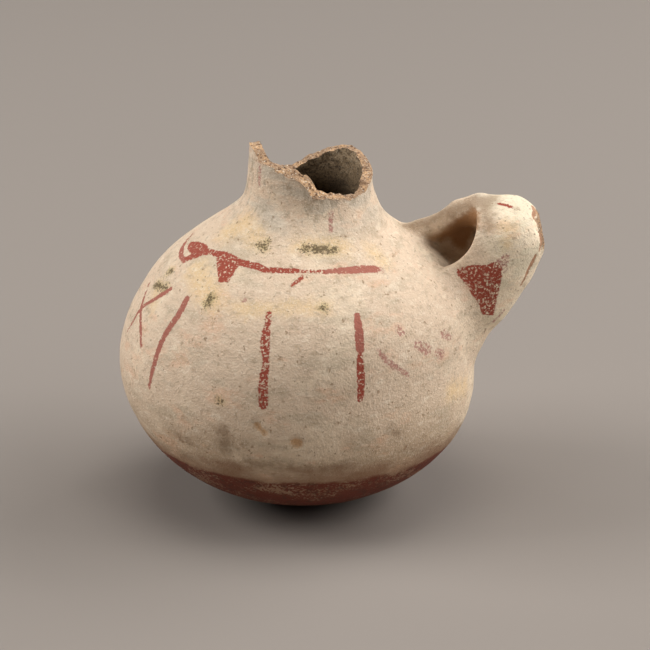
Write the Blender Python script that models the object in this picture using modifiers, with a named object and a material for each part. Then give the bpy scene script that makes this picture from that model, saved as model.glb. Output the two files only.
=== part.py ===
# A small hand-built earthenware bottle: a round belly on a rounded base, a neck that has
# broken off unevenly, and one hollow, hooded lug on its side, all of one piece of fired clay.
# Metres, +Z up. The origin is the middle of the small flat that the bottle stands on, and
# the lug points along +X.

import math

import bmesh
import bpy
import numpy as np
from mathutils import Vector

# Belly and neck
BELLY_RADIUS = 0.0718
BELLY_HEIGHT = 0.0534
FOOT_RADIUS = 0.0125
SHOULDER_RISE = 0.0550
SHOULDER_SOFTNESS = 0.01257
NECK_RADIUS = 0.0256
NECK_TAPER = 0.04
NECK_LENGTH = 0.0386
WALL = 0.0042
FLOOR = 0.0060

# How far the outlines run on above the break that trims them
OVERRUN = 0.0040

# The coils weren't stacked quite true: height as a share of the whole, sideways drift of the centre
LEAN = (
    (0.00, 0.0),
    (0.20, -0.0006),
    (0.41, -0.0027),
    (0.61, 0.0002),
    (0.75, -0.0007),
    (0.85, 0.0025),
    (1.00, 0.0031),
)

# Broken edge of the neck: degrees round from the lug, drop of the outer and of the inner edge
# below the tallest splinter
BREAK = (
    (0, 0.0130, 0.0125),
    (20, 0.0110, 0.0100),
    (32, 0.0088, 0.0078),
    (57, 0.0078, 0.0068),
    (72, 0.0104, 0.0092),
    (88, 0.0130, 0.0118),
    (96, 0.0160, 0.0148),
    (113, 0.0178, 0.0162),
    (140, 0.0168, 0.0160),
    (164, 0.0140, 0.0128),
    (174, 0.0065, 0.0056),
    (182, 0.0008, 0.0002),
    (197, 0.0008, 0.0000),
    (206, 0.0022, 0.0022),
    (217, 0.0050, 0.0045),
    (232, 0.0054, 0.0050),
    (247, 0.0085, 0.0061),
    (263, 0.0106, 0.0075),
    (272, 0.0160, 0.0108),
    (284, 0.0166, 0.0149),
    (300, 0.0175, 0.0164),
    (318, 0.0178, 0.0180),
    (336, 0.0162, 0.0172),
    (348, 0.0140, 0.0135),
)

# Side lug: a hood that rises from the belly and stands clear of the shoulder
LUG_REACH = 0.0245
LUG_RADIUS = 0.0163
LUG_WIDTH = 0.0358
LUG_WALL = 0.0050
LUG_ROOT_RISE = 0.0198
LUG_TIP_RISE = 0.0536
TIP_LOSS = 0.0023

# Balls that the hood is stretched over: share of the way from root to tip, across and up, and share
# of the lug's radius. The last two widen it towards the neck.
LUG_SHAPE = (
    (0.00, 0.00, 1.00),
    (1.00, 1.00, 1.00),
    (-0.10, 0.50, 0.95),
    (0.50, 0.94, 0.92),
)

# The lug's mouth, and the ridge that runs from the back of the hood to the foot of the neck
MOUTH_RADIUS = 0.0210
MOUTH_SIDE = 0.0220
MOUTH_RISE = 0.0101
MOUTH_SHAPE = (
    (1.62, 1.00, 1.00, 1.00),
    (1.38, 0.18, 0.70, 0.81),
)
RIDGE_THICKNESS = 0.0080
RIDGE_SIDE = 0.0075
RIDGE_SINK = 0.0095
BACK_WALL = 0.0056

# Fineness of the facets
RISING_RINGS = 24
FALLING_RINGS = 12
TURN_STEPS = 68
CAVITY_STEPS = 44
BREAK_STEPS = 96
BALL_STEPS = 28
RIDGE_SIDES = 4

# Sizes worked out from the ones above
SHOULDER_HEIGHT = BELLY_HEIGHT + SHOULDER_RISE
NECK_TOP = SHOULDER_HEIGHT + NECK_LENGTH
LUG_DEPTH_SCALE = LUG_WIDTH / (2 * LUG_RADIUS)


# Outline of the bottle

def neck_radius(height):
    """The neck's own radius, which shrinks a little upwards from the neck's foot."""
    return NECK_RADIUS - NECK_TAPER * (height - SHOULDER_HEIGHT)


def shoulder_radius(height):
    """The neck's radius plus the belly's extra, which falls away as a double exponential."""
    neck = neck_radius(height)
    steepness = (height - SHOULDER_HEIGHT) / SHOULDER_SOFTNESS
    return neck + (BELLY_RADIUS - neck) * math.exp(-math.exp(steepness))


def base_depth():
    """How far the lower ellipse would reach below the widest level without the foot's flat."""
    return BELLY_HEIGHT / math.sqrt(1 - (FOOT_RADIUS / shoulder_radius(BELLY_HEIGHT)) ** 2)


def outer_radius(height):
    """Below the widest level a quarter ellipse that ends at the foot, above it the shoulder."""
    widest = shoulder_radius(BELLY_HEIGHT)
    if height >= BELLY_HEIGHT:
        return shoulder_radius(height)
    share = (BELLY_HEIGHT - height) / base_depth()
    return widest * math.sqrt(1 - share ** 2)


def lean(height):
    """Sideways drift of the section at a height, eased from one entry of LEAN to the next."""
    share = min(max(height / NECK_TOP, 0.0), 1.0)
    for (low, drift_low), (high, drift_high) in zip(LEAN, LEAN[1:]):
        if share <= high:
            part = (share - low) / (high - low)
            return drift_low + (drift_high - drift_low) * (3 * part ** 2 - 2 * part ** 3)
    return LEAN[-1][1]


def outer_heights(top):
    """Heights from the top down: even steps to the widest level, then even turns to the foot."""
    climb = (top - BELLY_HEIGHT) / RISING_RINGS
    above = [BELLY_HEIGHT + climb * k for k in range(RISING_RINGS, 0, -1)]
    foot_turn = math.asin(FOOT_RADIUS / shoulder_radius(BELLY_HEIGHT))
    turn = (math.pi / 2 - foot_turn) / FALLING_RINGS
    below = [
        BELLY_HEIGHT - base_depth() * math.cos(foot_turn + turn * k)
        for k in range(FALLING_RINGS, 0, -1)
    ]
    return above + below + [0.0]


def outer_outline(top):
    return [(outer_radius(height), height) for height in outer_heights(top)]


def inner_outline(top):
    """The outer outline moved inwards, square to itself, by the wall, and by more at the floor."""
    points = []
    step = 0.0002
    for height in outer_heights(top):
        slope = (outer_radius(height + step) - outer_radius(max(height - step, 0.0))) / (2 * step)
        thick = WALL + (FLOOR - WALL) * max(0.0, 1 - height / BELLY_HEIGHT) ** 2
        length = math.hypot(1.0, slope)
        points.append((outer_radius(height) - thick / length, height + thick * slope / length))
    floor = [(radius, height) for radius, height in points if height > FLOOR and radius > 0]
    return floor[::2] + [(FOOT_RADIUS / 2, FLOOR)]


# Making and joining solids

def link(name, mesh, collection):
    made = bpy.data.objects.new(name, mesh)
    collection.objects.link(made)
    return made


def as_tool(made):
    """Marks an object that only cuts or joins another."""
    made.hide_render = True
    made.display_type = "WIRE"
    return made


def turned(name, outline, steps, collection):
    """Turns an outline of radius and height round Z, closed on the axis, then gives it its lean."""
    points = [(0.0, outline[0][1])] + outline + [(0.0, outline[-1][1])]
    profile = bpy.data.meshes.new(name + " profile")
    edges = [(k, k + 1) for k in range(len(points) - 1)]
    profile.from_pydata([(radius, 0.0, height) for radius, height in points], edges, [])
    spun = link(name + " spun", profile, collection)
    screw = spun.modifiers.new("turn", "SCREW")
    screw.steps = steps
    screw.render_steps = steps
    screw.use_merge_vertices = True
    screw.merge_threshold = 0.00001
    shaped = bpy.context.evaluated_depsgraph_get()
    mesh = bpy.data.meshes.new_from_object(spun.evaluated_get(shaped))
    mesh.name = name
    bpy.data.objects.remove(spun)
    for vertex in mesh.vertices:
        vertex.co.x += lean(vertex.co.z)
    return link(name, mesh, collection)


def balls(name, places, collection):
    """The tightest skin round several balls, each given as centre and radius, wider along Y."""
    shell = bmesh.new()
    rings = BALL_STEPS // 2
    for centre, radius in places:
        ball = bmesh.ops.create_uvsphere(
            shell, u_segments=BALL_STEPS, v_segments=rings, radius=radius
        )
        for vertex in ball["verts"]:
            vertex.co.y *= LUG_DEPTH_SCALE
            vertex.co += Vector(centre)
    skin = bmesh.ops.convex_hull(shell, input=shell.verts)
    inside = [item for item in skin["geom_interior"] if isinstance(item, bmesh.types.BMVert)]
    bmesh.ops.delete(shell, geom=inside, context="VERTS")
    loose = [face for face in shell.faces if face not in set(skin["geom"])]
    bmesh.ops.delete(shell, geom=loose, context="FACES_ONLY")
    mesh = bpy.data.meshes.new(name)
    bmesh.ops.recalc_face_normals(shell, faces=shell.faces)
    shell.to_mesh(mesh)
    shell.free()
    return link(name, mesh, collection)


def boolean(target, tool, operation):
    """Joins or cuts a target with a tool and keeps the modifier live."""
    step = target.modifiers.new(tool.name, "BOOLEAN")
    step.operation = operation
    step.solver = "EXACT"
    step.object = tool
    return step


def clay(name, colour, roughness):
    material = bpy.data.materials.new(name)
    material.use_nodes = True
    shader = material.node_tree.nodes["Principled BSDF"]
    shader.inputs["Base Color"].default_value = (*colour, 1.0)
    shader.inputs["Roughness"].default_value = roughness
    shader.inputs["Metallic"].default_value = 0.0
    return material


# The break across the neck

def break_heights(degrees):
    """Heights of the outer and the inner edge of the break, straight between the entries of BREAK."""
    turns = [entry[0] for entry in BREAK]
    outer = np.interp(degrees, turns, [entry[1] for entry in BREAK], period=360)
    inner = np.interp(degrees, turns, [entry[2] for entry in BREAK], period=360)
    return NECK_TOP - outer, NECK_TOP - inner


def break_cutter(collection):
    """A ragged disc with a flat top: everything above the break, a little wider than the neck."""
    lowest = NECK_TOP - max(max(entry[1:]) for entry in BREAK)
    clear = 0.003
    ceiling = NECK_TOP + 3 * clear
    rim = outer_radius(lowest) + clear
    bore = outer_radius(lowest) - 2 * WALL
    cutter = bmesh.new()
    rings = []
    for radius, edge in ((bore, 1), (rim, 0), (rim, None), (bore, None)):
        ring = []
        for k in range(BREAK_STEPS):
            turn = 2 * math.pi * k / BREAK_STEPS
            height = ceiling if edge is None else break_heights(math.degrees(turn))[edge]
            across = radius * math.cos(turn) + lean(NECK_TOP)
            ring.append(cutter.verts.new((across, radius * math.sin(turn), height)))
        rings.append(ring)
    for lower, upper in zip(rings, rings[1:]):
        for k in range(BREAK_STEPS):
            turned_on = (k + 1) % BREAK_STEPS
            cutter.faces.new((lower[k], lower[turned_on], upper[turned_on], upper[k]))
    for ring, height in ((rings[0], lowest), (rings[-1], ceiling)):
        middle = cutter.verts.new((lean(NECK_TOP), 0.0, height))
        for k in range(BREAK_STEPS):
            cutter.faces.new((ring[k], ring[(k + 1) % BREAK_STEPS], middle))
    bmesh.ops.recalc_face_normals(cutter, faces=cutter.faces)
    mesh = bpy.data.meshes.new("break")
    cutter.to_mesh(mesh)
    cutter.free()
    return as_tool(link("break", mesh, collection))


# The side lug

def lug_places(shrink):
    """Centres and radii of the hood's balls, from LUG_SHAPE, each radius less by shrink."""
    sunk = 0.8
    tip = BELLY_RADIUS + LUG_REACH - LUG_RADIUS
    root = BELLY_RADIUS - sunk * LUG_RADIUS
    low = BELLY_HEIGHT + LUG_ROOT_RISE
    high = BELLY_HEIGHT + LUG_TIP_RISE
    places = []
    for across, up, size in LUG_SHAPE:
        centre = (root + across * (tip - root), 0.0, low + up * (high - low))
        places.append((centre, size * LUG_RADIUS - shrink))
    return places


def trim_tip(hood):
    """Cuts the flat where the outer end of the lug has broken away, facing out and a little up."""
    tip, radius = lug_places(0.0)[1]
    facing = Vector((0.97, 0.0, 0.24)).normalized()
    point = Vector(tip) + facing * (radius - TIP_LOSS)
    shell = bmesh.new()
    shell.from_mesh(hood.data)
    cut = bmesh.ops.bisect_plane(
        shell,
        geom=shell.verts[:] + shell.edges[:] + shell.faces[:],
        plane_co=point,
        plane_no=facing,
        clear_outer=True,
    )
    rim = [item for item in cut["geom_cut"] if isinstance(item, bmesh.types.BMEdge)]
    bmesh.ops.contextual_create(shell, geom=rim)
    bmesh.ops.recalc_face_normals(shell, faces=shell.faces)
    shell.to_mesh(hood.data)
    shell.free()


def pocket_places():
    """The hood's balls made smaller by its wall, and one that clears the way towards the neck."""
    (root, inner), (tip, _) = lug_places(LUG_WALL)[:2]
    clearing = (root[0] - 0.18 * inner, -0.25 * inner, tip[2] - 0.35 * inner)
    return lug_places(LUG_WALL) + [(clearing, 1.08 * inner)]


def mouth_places():
    """A wide ball in front of the hood and a smaller one inside, which open it towards the neck."""
    (tip_x, _, tip_z), _ = lug_places(0.0)[1]
    places = []
    for back, side, rise, size in MOUTH_SHAPE:
        centre = (tip_x - back * MOUTH_RADIUS, -side * MOUTH_SIDE, tip_z + rise * MOUTH_RISE)
        places.append((centre, size * MOUTH_RADIUS))
    return places


def ridge_point(along):
    """Centre and radius of the ridge: along runs from 0 in the hood to 1 at the neck's foot.

    It starts inside the top of the hood, sweeps down in an S and thins towards the neck.
    """
    (tip_x, _, tip_z), radius = lug_places(0.0)[1]
    start = Vector((tip_x - 0.45 * radius, 0.85 * RIDGE_SIDE, tip_z + 0.5 * radius))
    foot = SHOULDER_HEIGHT - 0.4 * RIDGE_THICKNESS
    end = Vector((outer_radius(foot) - RIDGE_SINK, 1.15 * RIDGE_SIDE, foot))
    fall = min(max((along - 0.05) / 0.9, 0.0), 1.0)
    centre = start.lerp(end, along)
    centre.z = start.z + (end.z - start.z) * (3 * fall ** 2 - 2 * fall ** 3)
    swell = 0.85 + 0.65 * (1 - along) ** 2.5
    return centre, swell * RIDGE_THICKNESS / 2


def ridge(collection):
    """A tapering bar laid along ridge_point, made a mesh with its ends closed."""
    points = 10
    curve = bpy.data.curves.new("ridge", "CURVE")
    curve.dimensions = "3D"
    curve.bevel_depth = 1.0
    curve.bevel_resolution = RIDGE_SIDES
    curve.use_fill_caps = True
    spline = curve.splines.new("POLY")
    spline.points.add(points - 1)
    for k, point in enumerate(spline.points):
        centre, thick = ridge_point(k / (points - 1))
        point.co = (*centre, 1.0)
        point.radius = thick
    bar = link("ridge bar", curve, collection)
    shaped = bpy.context.evaluated_depsgraph_get()
    mesh = bpy.data.meshes.new_from_object(bar.evaluated_get(shaped))
    bpy.data.objects.remove(bar)
    welded = bmesh.new()
    welded.from_mesh(mesh)
    bmesh.ops.remove_doubles(welded, verts=welded.verts, dist=0.00001)
    bmesh.ops.recalc_face_normals(welded, faces=welded.faces)
    welded.to_mesh(mesh)
    welded.free()
    return as_tool(link("ridge", mesh, collection))


def back_wall(collection):
    """The thin wall under the ridge, which closes the lug's pocket at the back."""
    radius = BACK_WALL / 2
    behind = Vector((0.0, 0.4 * RIDGE_SIDE, -0.45 * RIDGE_THICKNESS))
    top_ends = [ridge_point(along)[0] + behind for along in (0.05, 0.3, 0.6, 0.85)]
    low = BELLY_HEIGHT + LUG_ROOT_RISE
    foot = Vector((outer_radius(low) - 2.5 * radius, RIDGE_SIDE, low)) + behind
    places = [(centre, radius) for centre in top_ends + [foot]]
    return as_tool(balls("back wall", places, collection))


def lug(collection):
    """The hood with its pocket and mouth cut out, before it joins the belly."""
    hood = balls("hood", lug_places(0.0), collection)
    trim_tip(hood)
    pocket = as_tool(balls("pocket", pocket_places(), collection))
    mouth = as_tool(balls("mouth", mouth_places(), collection))
    boolean(hood, pocket, "DIFFERENCE")
    boolean(hood, mouth, "DIFFERENCE")
    return as_tool(hood)


# The whole bottle

def build():
    for old in list(bpy.data.objects):
        bpy.data.objects.remove(old)
    scene = bpy.context.scene
    parts = bpy.data.collections.new("earthenware bottle")
    tools = bpy.data.collections.new("cutters")
    scene.collection.children.link(parts)
    scene.collection.children.link(tools)

    above = NECK_TOP + OVERRUN
    bottle = turned("bottle", outer_outline(above), TURN_STEPS, parts)
    cavity = as_tool(turned("cavity", inner_outline(above + OVERRUN), CAVITY_STEPS, tools))
    boolean(bottle, lug(tools), "UNION")
    boolean(bottle, ridge(tools), "UNION")
    boolean(bottle, back_wall(tools), "UNION")
    boolean(bottle, cavity, "DIFFERENCE")
    boolean(bottle, break_cutter(tools), "DIFFERENCE")

    bottle.data.materials.append(clay("slipped earthenware", (0.62, 0.52, 0.38), 0.85))
    bottle.data.shade_smooth()
    bottle.data.set_sharp_from_angle(angle=math.radians(40))


build()
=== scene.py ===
# %% [markdown]
# # A small earthenware bottle, dressed
#
# The bottle was built by hand from coils of coarse clay: a round belly on a rounded base, a
# narrow neck, and one hollow lug that stands up at the side like a hood. It was coated with
# cream slip, painted with red strokes, and fired low. Since then the neck has broken off and
# the tip of the lug has chipped.
#
# The solid that comes with it has the right size and form but a plain skin. This lesson makes
# the skin again as one finer mesh, then its finishes, the light and the camera.

# %% Load the fixed frame
import math

import bpy
import numpy as np
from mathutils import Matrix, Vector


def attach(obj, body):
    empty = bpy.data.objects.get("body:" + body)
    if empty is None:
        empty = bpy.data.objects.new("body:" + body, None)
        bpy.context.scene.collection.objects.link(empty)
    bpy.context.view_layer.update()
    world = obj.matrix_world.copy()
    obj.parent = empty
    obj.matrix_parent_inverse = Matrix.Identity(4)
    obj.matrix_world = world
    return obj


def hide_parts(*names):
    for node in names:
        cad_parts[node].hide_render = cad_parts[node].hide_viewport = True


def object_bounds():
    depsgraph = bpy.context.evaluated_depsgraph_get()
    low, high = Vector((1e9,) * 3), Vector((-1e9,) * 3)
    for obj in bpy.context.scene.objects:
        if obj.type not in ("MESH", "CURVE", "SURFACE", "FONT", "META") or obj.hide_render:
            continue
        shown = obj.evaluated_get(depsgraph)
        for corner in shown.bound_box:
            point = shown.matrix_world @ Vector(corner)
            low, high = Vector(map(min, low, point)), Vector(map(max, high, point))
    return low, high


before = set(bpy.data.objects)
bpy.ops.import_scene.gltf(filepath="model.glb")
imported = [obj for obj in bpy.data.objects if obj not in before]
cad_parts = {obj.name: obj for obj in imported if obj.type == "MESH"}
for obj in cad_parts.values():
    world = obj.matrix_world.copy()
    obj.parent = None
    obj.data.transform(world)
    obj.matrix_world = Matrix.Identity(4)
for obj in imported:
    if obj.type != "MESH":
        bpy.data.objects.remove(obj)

cad_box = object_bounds()
print("box of the solid, metres:", cad_box)

# %% [markdown]
# ## The outline
#
# A pot that is turned or coiled is ruled by one curve, its radius at each height. Here the
# lower half is a quarter of an ellipse that ends at the flat of the foot. Above the widest
# level, the radius is the neck's plus an extra that falls away as a double exponential, which
# gives the full shoulder and the soft bend into the neck with only three numbers.
#
# The curve could also be drawn with a Bezier and a Screw modifier. A formula is used because the
# lug further down needs to ask how far any point is from this same curve.

# %% Sizes of the belly and the neck, in millimetres
MM = 0.001
BELLY_RADIUS = 71.8
BELLY_HEIGHT = 53.4
FOOT_RADIUS = 12.5
SHOULDER_HEIGHT = 108.4
SHOULDER_SOFTNESS = 12.57
NECK_RADIUS = 25.6
NECK_TAPER = 0.04
NECK_TOP = 147.0
WALL = 4.2
FLOOR = 6.0

# The coils weren't stacked quite true: share of the height, and sideways drift of the centre
LEAN_SHARE = np.array([0.0, 0.20, 0.41, 0.61, 0.75, 0.85, 1.0])
LEAN_DRIFT = np.array([0.0, -0.6, -2.7, 0.2, -0.7, 2.5, 3.1])


def eased(at, places, values):
    """Values between the entries of a table, by the S-curve 3p^2 - 2p^3 of the way between two."""
    low = np.clip(np.searchsorted(places, at, side="right") - 1, 0, len(places) - 2)
    part = np.clip((at - places[low]) / (places[low + 1] - places[low]), 0, 1)
    return values[low] + (values[low + 1] - values[low]) * part * part * (3 - 2 * part)


def lean(height):
    """Sideways drift of the section at a height."""
    return eased(np.asarray(height, float) / NECK_TOP, LEAN_SHARE, LEAN_DRIFT)


def neck_radius(height):
    """The neck's own radius: a straight line that narrows a little upwards."""
    return NECK_RADIUS - NECK_TAPER * (height - SHOULDER_HEIGHT)


def shoulder_radius(height):
    """Neck radius plus (belly - neck) * exp(-exp((height - shoulder height) / softness))."""
    neck = neck_radius(height)
    fall = np.exp(-np.exp((height - SHOULDER_HEIGHT) / SHOULDER_SOFTNESS))
    return neck + (BELLY_RADIUS - neck) * fall


def outline():
    """The whole outer curve as radius and height, every 0.2 mm, its two corners rubbed soft.

    Foot: a straight line. Base: widest * sin(turn), belly height - depth * cos(turn). Above:
    the shoulder's formula. A moving average over a few millimetres rounds the joints.
    """
    widest = shoulder_radius(BELLY_HEIGHT)
    foot_turn = math.asin(FOOT_RADIUS / widest)
    depth = BELLY_HEIGHT / math.cos(foot_turn)
    turn = np.linspace(foot_turn, math.pi / 2, 500)
    rise = np.linspace(BELLY_HEIGHT, NECK_TOP + 8, 900)[1:]
    radius = np.concatenate([[-FOOT_RADIUS, 0.0], widest * np.sin(turn), shoulder_radius(rise)])
    height = np.concatenate([[0.0, 0.0], BELLY_HEIGHT - depth * np.cos(turn), rise])
    along = np.concatenate([[0], np.cumsum(np.hypot(np.diff(radius), np.diff(height)))])
    even = np.arange(0, along[-1], 0.2)
    window = np.hanning(31) / np.hanning(31).sum()
    spread = [np.interp(even, along, values) for values in (radius, height)]
    radius, height = (np.convolve(values, window, "valid") for values in spread)
    keep = radius >= 0
    return radius[keep], np.maximum(height[keep], 0)


CURVE_R, CURVE_Z = outline()
CURVE_S = np.concatenate([[0], np.cumsum(np.hypot(np.diff(CURVE_R), np.diff(CURVE_Z)))])
print("outline, mm: %.1f long, widest radius %.1f" % (CURVE_S[-1], CURVE_R.max()))


def outer_radius(height):
    """Radius of the clay's outside at a height."""
    return np.interp(height, CURVE_Z, CURVE_R)


# %% [markdown]
# ## The clay as a distance
#
# The lug grows out of the belly with a soft fillet, is hollowed from the neck's side, and a rolled
# ridge of clay runs from it to the foot of the neck. No single grid of two parameters wraps
# such a form evenly. So the clay is first described as a distance: a function that
# is negative in the clay, positive outside and zero on the skin. Two distances are joined by
# taking the smaller, and cut by taking the larger, each with a soft corner, just as a
# thumb smooths clay where a coil was pressed on.

# %% Joining and cutting distances
def smaller(a, b, soft):
    """The smaller of two distances, with the corner between them rounded over about soft mm."""
    part = np.clip(0.5 + 0.5 * (b - a) / soft, 0, 1)
    return b * (1 - part) + a * part - soft * part * (1 - part)


def larger(a, b, soft):
    """The larger of two distances, with the same soft corner."""
    return -smaller(-a, -b, soft)


def roll(x, y, z, start, end, thick_start, thick_end, flat=1.0):
    """Distance to a tapering roll of clay with round ends, flat times as wide along Y."""
    ax, ay, az = (e - s for s, e in zip(start, end))
    px, py, pz = x - start[0], (y - start[1]) / flat, z - start[2]
    ay = ay / flat
    along = np.clip((px * ax + py * ay + pz * az) / (ax * ax + ay * ay + az * az), 0, 1)
    gap = np.sqrt((px - along * ax) ** 2 + (py - along * ay) ** 2 + (pz - along * az) ** 2)
    return gap - (thick_start + (thick_end - thick_start) * along)


def belly(x, y, z):
    """Distance to the turned body: gap in radius, made square to the outline by its slope."""
    height = np.clip(z, 0, NECK_TOP)
    slope = np.clip((outer_radius(height + 0.4) - outer_radius(height - 0.4)) / 0.8, -6, 6)
    gap = (np.hypot(x - lean(height), y) - outer_radius(height)) / np.sqrt(1 + slope * slope)
    return np.maximum(gap, -z)


# %% [markdown]
# ## The lug
#
# The hood is a fat roll that leans out from the belly, with a second one that widens it
# towards the neck and a third that rounds its heel. Its outer end is cut by the plane of an
# old break. The pocket is the hood again, thinner by its wall, opened by a wide scoop from the
# front and the neck's side. The ridge is a chain of rolls laid over the back of the mouth,
# with a thin wall below it.

# %% The lug's own sizes, in millimetres
LUG_RADIUS = 16.3
LUG_WALL = 5.0
LUG_FLAT = 1.1
LUG_ROOT = (58.6, 0.0, 73.2)
LUG_TIP = (80.0, 0.0, 107.0)
LUG_FILLET = 8.0
LUG_CHEEK = ((56.0, -1.0, 90.0), (69.0, 0.0, 105.0), 15.5, 15.0, 1.05)
LUG_HEEL = ((70.0, 0.0, 86.0), (76.3, 0.0, 97.0), 14.2, 14.8, LUG_FLAT)
LUG_SCOOP = ((46.0, -22.0, 118.5), (51.0, -4.0, 114.5), 21.0, 17.0)
TIP_BREAK = (94.8, 107.0)
TIP_FACING = (0.98, 0.20)
RIDGE = (
    ((80.0, 1.0, 113.0), 11.0),
    ((70.0, 6.0, 116.0), 6.6),
    ((62.0, 7.0, 114.7), 4.9),
    ((57.0, 7.5, 110.8), 4.3),
    ((52.0, 8.0, 107.8), 4.0),
    ((46.0, 8.5, 106.4), 3.8),
    ((40.0, 9.0, 105.2), 3.0),
)
RIDGE_WALL = ((67.0, 7.0, 115.4), (39.0, 8.5, 105.0), 3.0, 2.6)
RIDGE_WALL_BACK = 3.0


def tip_plane(x, z):
    """Height above the plane where the lug's outer end broke off."""
    return (x - TIP_BREAK[0]) * TIP_FACING[0] + (z - TIP_BREAK[1]) * TIP_FACING[1]


def hood(x, y, z):
    """The lug before it is hollowed."""
    main = roll(x, y, z, LUG_ROOT, LUG_TIP, LUG_RADIUS, LUG_RADIUS, LUG_FLAT)
    whole = smaller(smaller(main, roll(x, y, z, *LUG_HEEL), 6.0), roll(x, y, z, *LUG_CHEEK), 6.0)
    return larger(whole, tip_plane(x, z), 1.4)


def pocket(x, y, z, hood_gap, belly_gap):
    """The hollow: the thinned hood and the scoop of its mouth, never deeper than the belly."""
    opened = smaller(hood_gap + LUG_WALL, roll(x, y, z, *LUG_SCOOP), 3.0)
    return larger(opened, -belly_gap, 1.5)


def ridge(x, y, z):
    """The rolled ridge, and the thin wall below it that closes the pocket at the back."""
    gap = None
    for (start, thick), (end, thinner) in zip(RIDGE, RIDGE[1:]):
        piece = roll(x, y, z, start, end, thick, thinner)
        gap = piece if gap is None else smaller(gap, piece, 4.0)
    points = np.array([point for point, _ in RIDGE[::-1]])
    top = np.interp(x, points[:, 0], points[:, 2])
    below = np.where(z > 80.0, np.maximum(z, top), z)
    return smaller(gap, roll(x, y - RIDGE_WALL_BACK, below, *RIDGE_WALL), 2.0)


def clay(x, y, z):
    """Distance to the outside of the whole bottle, as if it were solid and its neck whole."""
    body = belly(x, y, z)
    lug = hood(x, y, z)
    shape = larger(smaller(body, lug, LUG_FILLET), -pocket(x, y, z, lug, body), 1.0)
    return smaller(shape, ridge(x, y, z), 3.0)


# %% [markdown]
# ## Rows and columns
#
# Away from the lug the skin is a plain function of two parameters: how far up the outline, and how
# far round. Columns are set closer where the lug stands and on the painted front, and wider at
# the back. Every row and column line has a place between it and the next where a vertex goes.

# %% Rows up the outline, columns round the pot
LUG_LOW, LUG_MIDDLE, LUG_HIGH, LUG_ENDS = 46.0, 76.0, 106.0, 116.0
LUG_TURN = 29.0
FRONT_START = -168.0
BASE_STEP, LUG_STEPS = 1.7, (1.1, 0.72, 0.9)
FRONT_STEP, TURN_STEP, BACK_STEP = 1.1, 0.64, 2.4
OUT_STEP, OUT_LINES = 0.9, 55


def steps(start, stop, size):
    """Even steps from start to stop, each about as long as size."""
    return np.linspace(start, stop, int(round((stop - start) / size)) + 1)


def joined(*parts):
    """Several runs of steps as one, each starting where the last ended."""
    return np.concatenate([parts[0]] + [part[1:] for part in parts[1:]])


up = [np.interp(height, CURVE_Z, CURVE_S) for height in (LUG_LOW, LUG_MIDDLE, LUG_HIGH, LUG_ENDS)]
base_lines = steps(0.5, up[0], BASE_STEP)
lug_lines = joined(*(steps(*run) for run in zip(up, up[1:], LUG_STEPS)))
row_lines = joined(base_lines, lug_lines)
front_lines = steps(FRONT_START, -LUG_TURN, FRONT_STEP)
turn_lines = steps(-LUG_TURN, LUG_TURN, TURN_STEP)
back_lines = steps(LUG_TURN, FRONT_START + 360, BACK_STEP)
column_lines = np.radians(joined(front_lines, turn_lines, back_lines))

rows = (row_lines[1:] + row_lines[:-1]) / 2
columns = (column_lines[1:] + column_lines[:-1]) / 2
first_row, first_column = len(base_lines) - 1, len(front_lines) - 1
print("rows up to the neck %d, columns %d" % (len(rows), len(columns)))

CURVE_NR = np.gradient(CURVE_Z, CURVE_S)
CURVE_NZ = -np.gradient(CURVE_R, CURVE_S)


def on_curve(along, out=0.0):
    """Radius and height at a length along the outline, moved out square to it."""
    radius = np.interp(along, CURVE_S, CURVE_R) + out * np.interp(along, CURVE_S, CURVE_NR)
    height = np.interp(along, CURVE_S, CURVE_Z) + out * np.interp(along, CURVE_S, CURVE_NZ)
    return radius, height


def turned(radius, height, turn):
    """Points at x = radius * cos(turn) + lean(height), y = radius * sin(turn), z = height."""
    radius, height, turn = np.broadcast_arrays(radius, height, turn)
    return np.stack([radius * np.cos(turn) + lean(height), radius * np.sin(turn), height], -1)


# %% [markdown]
# ## The skin round the lug
#
# Round the lug, a block of space is filled with a lattice that follows the pot: up the outline,
# round the pot, and out from it. The distance is worked out at every point of it. Wherever it
# changes sign inside a cell the skin passes through, so that cell gets one vertex, at the mean
# of the crossings on its edges, and every crossed edge joins the four cells round it with a face.
# A voxel remesh does the same on a plain cube lattice. Here the lattice bends with the pot, so
# that its rim meets the plain rows and columns vertex by vertex, with no seam.

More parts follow.
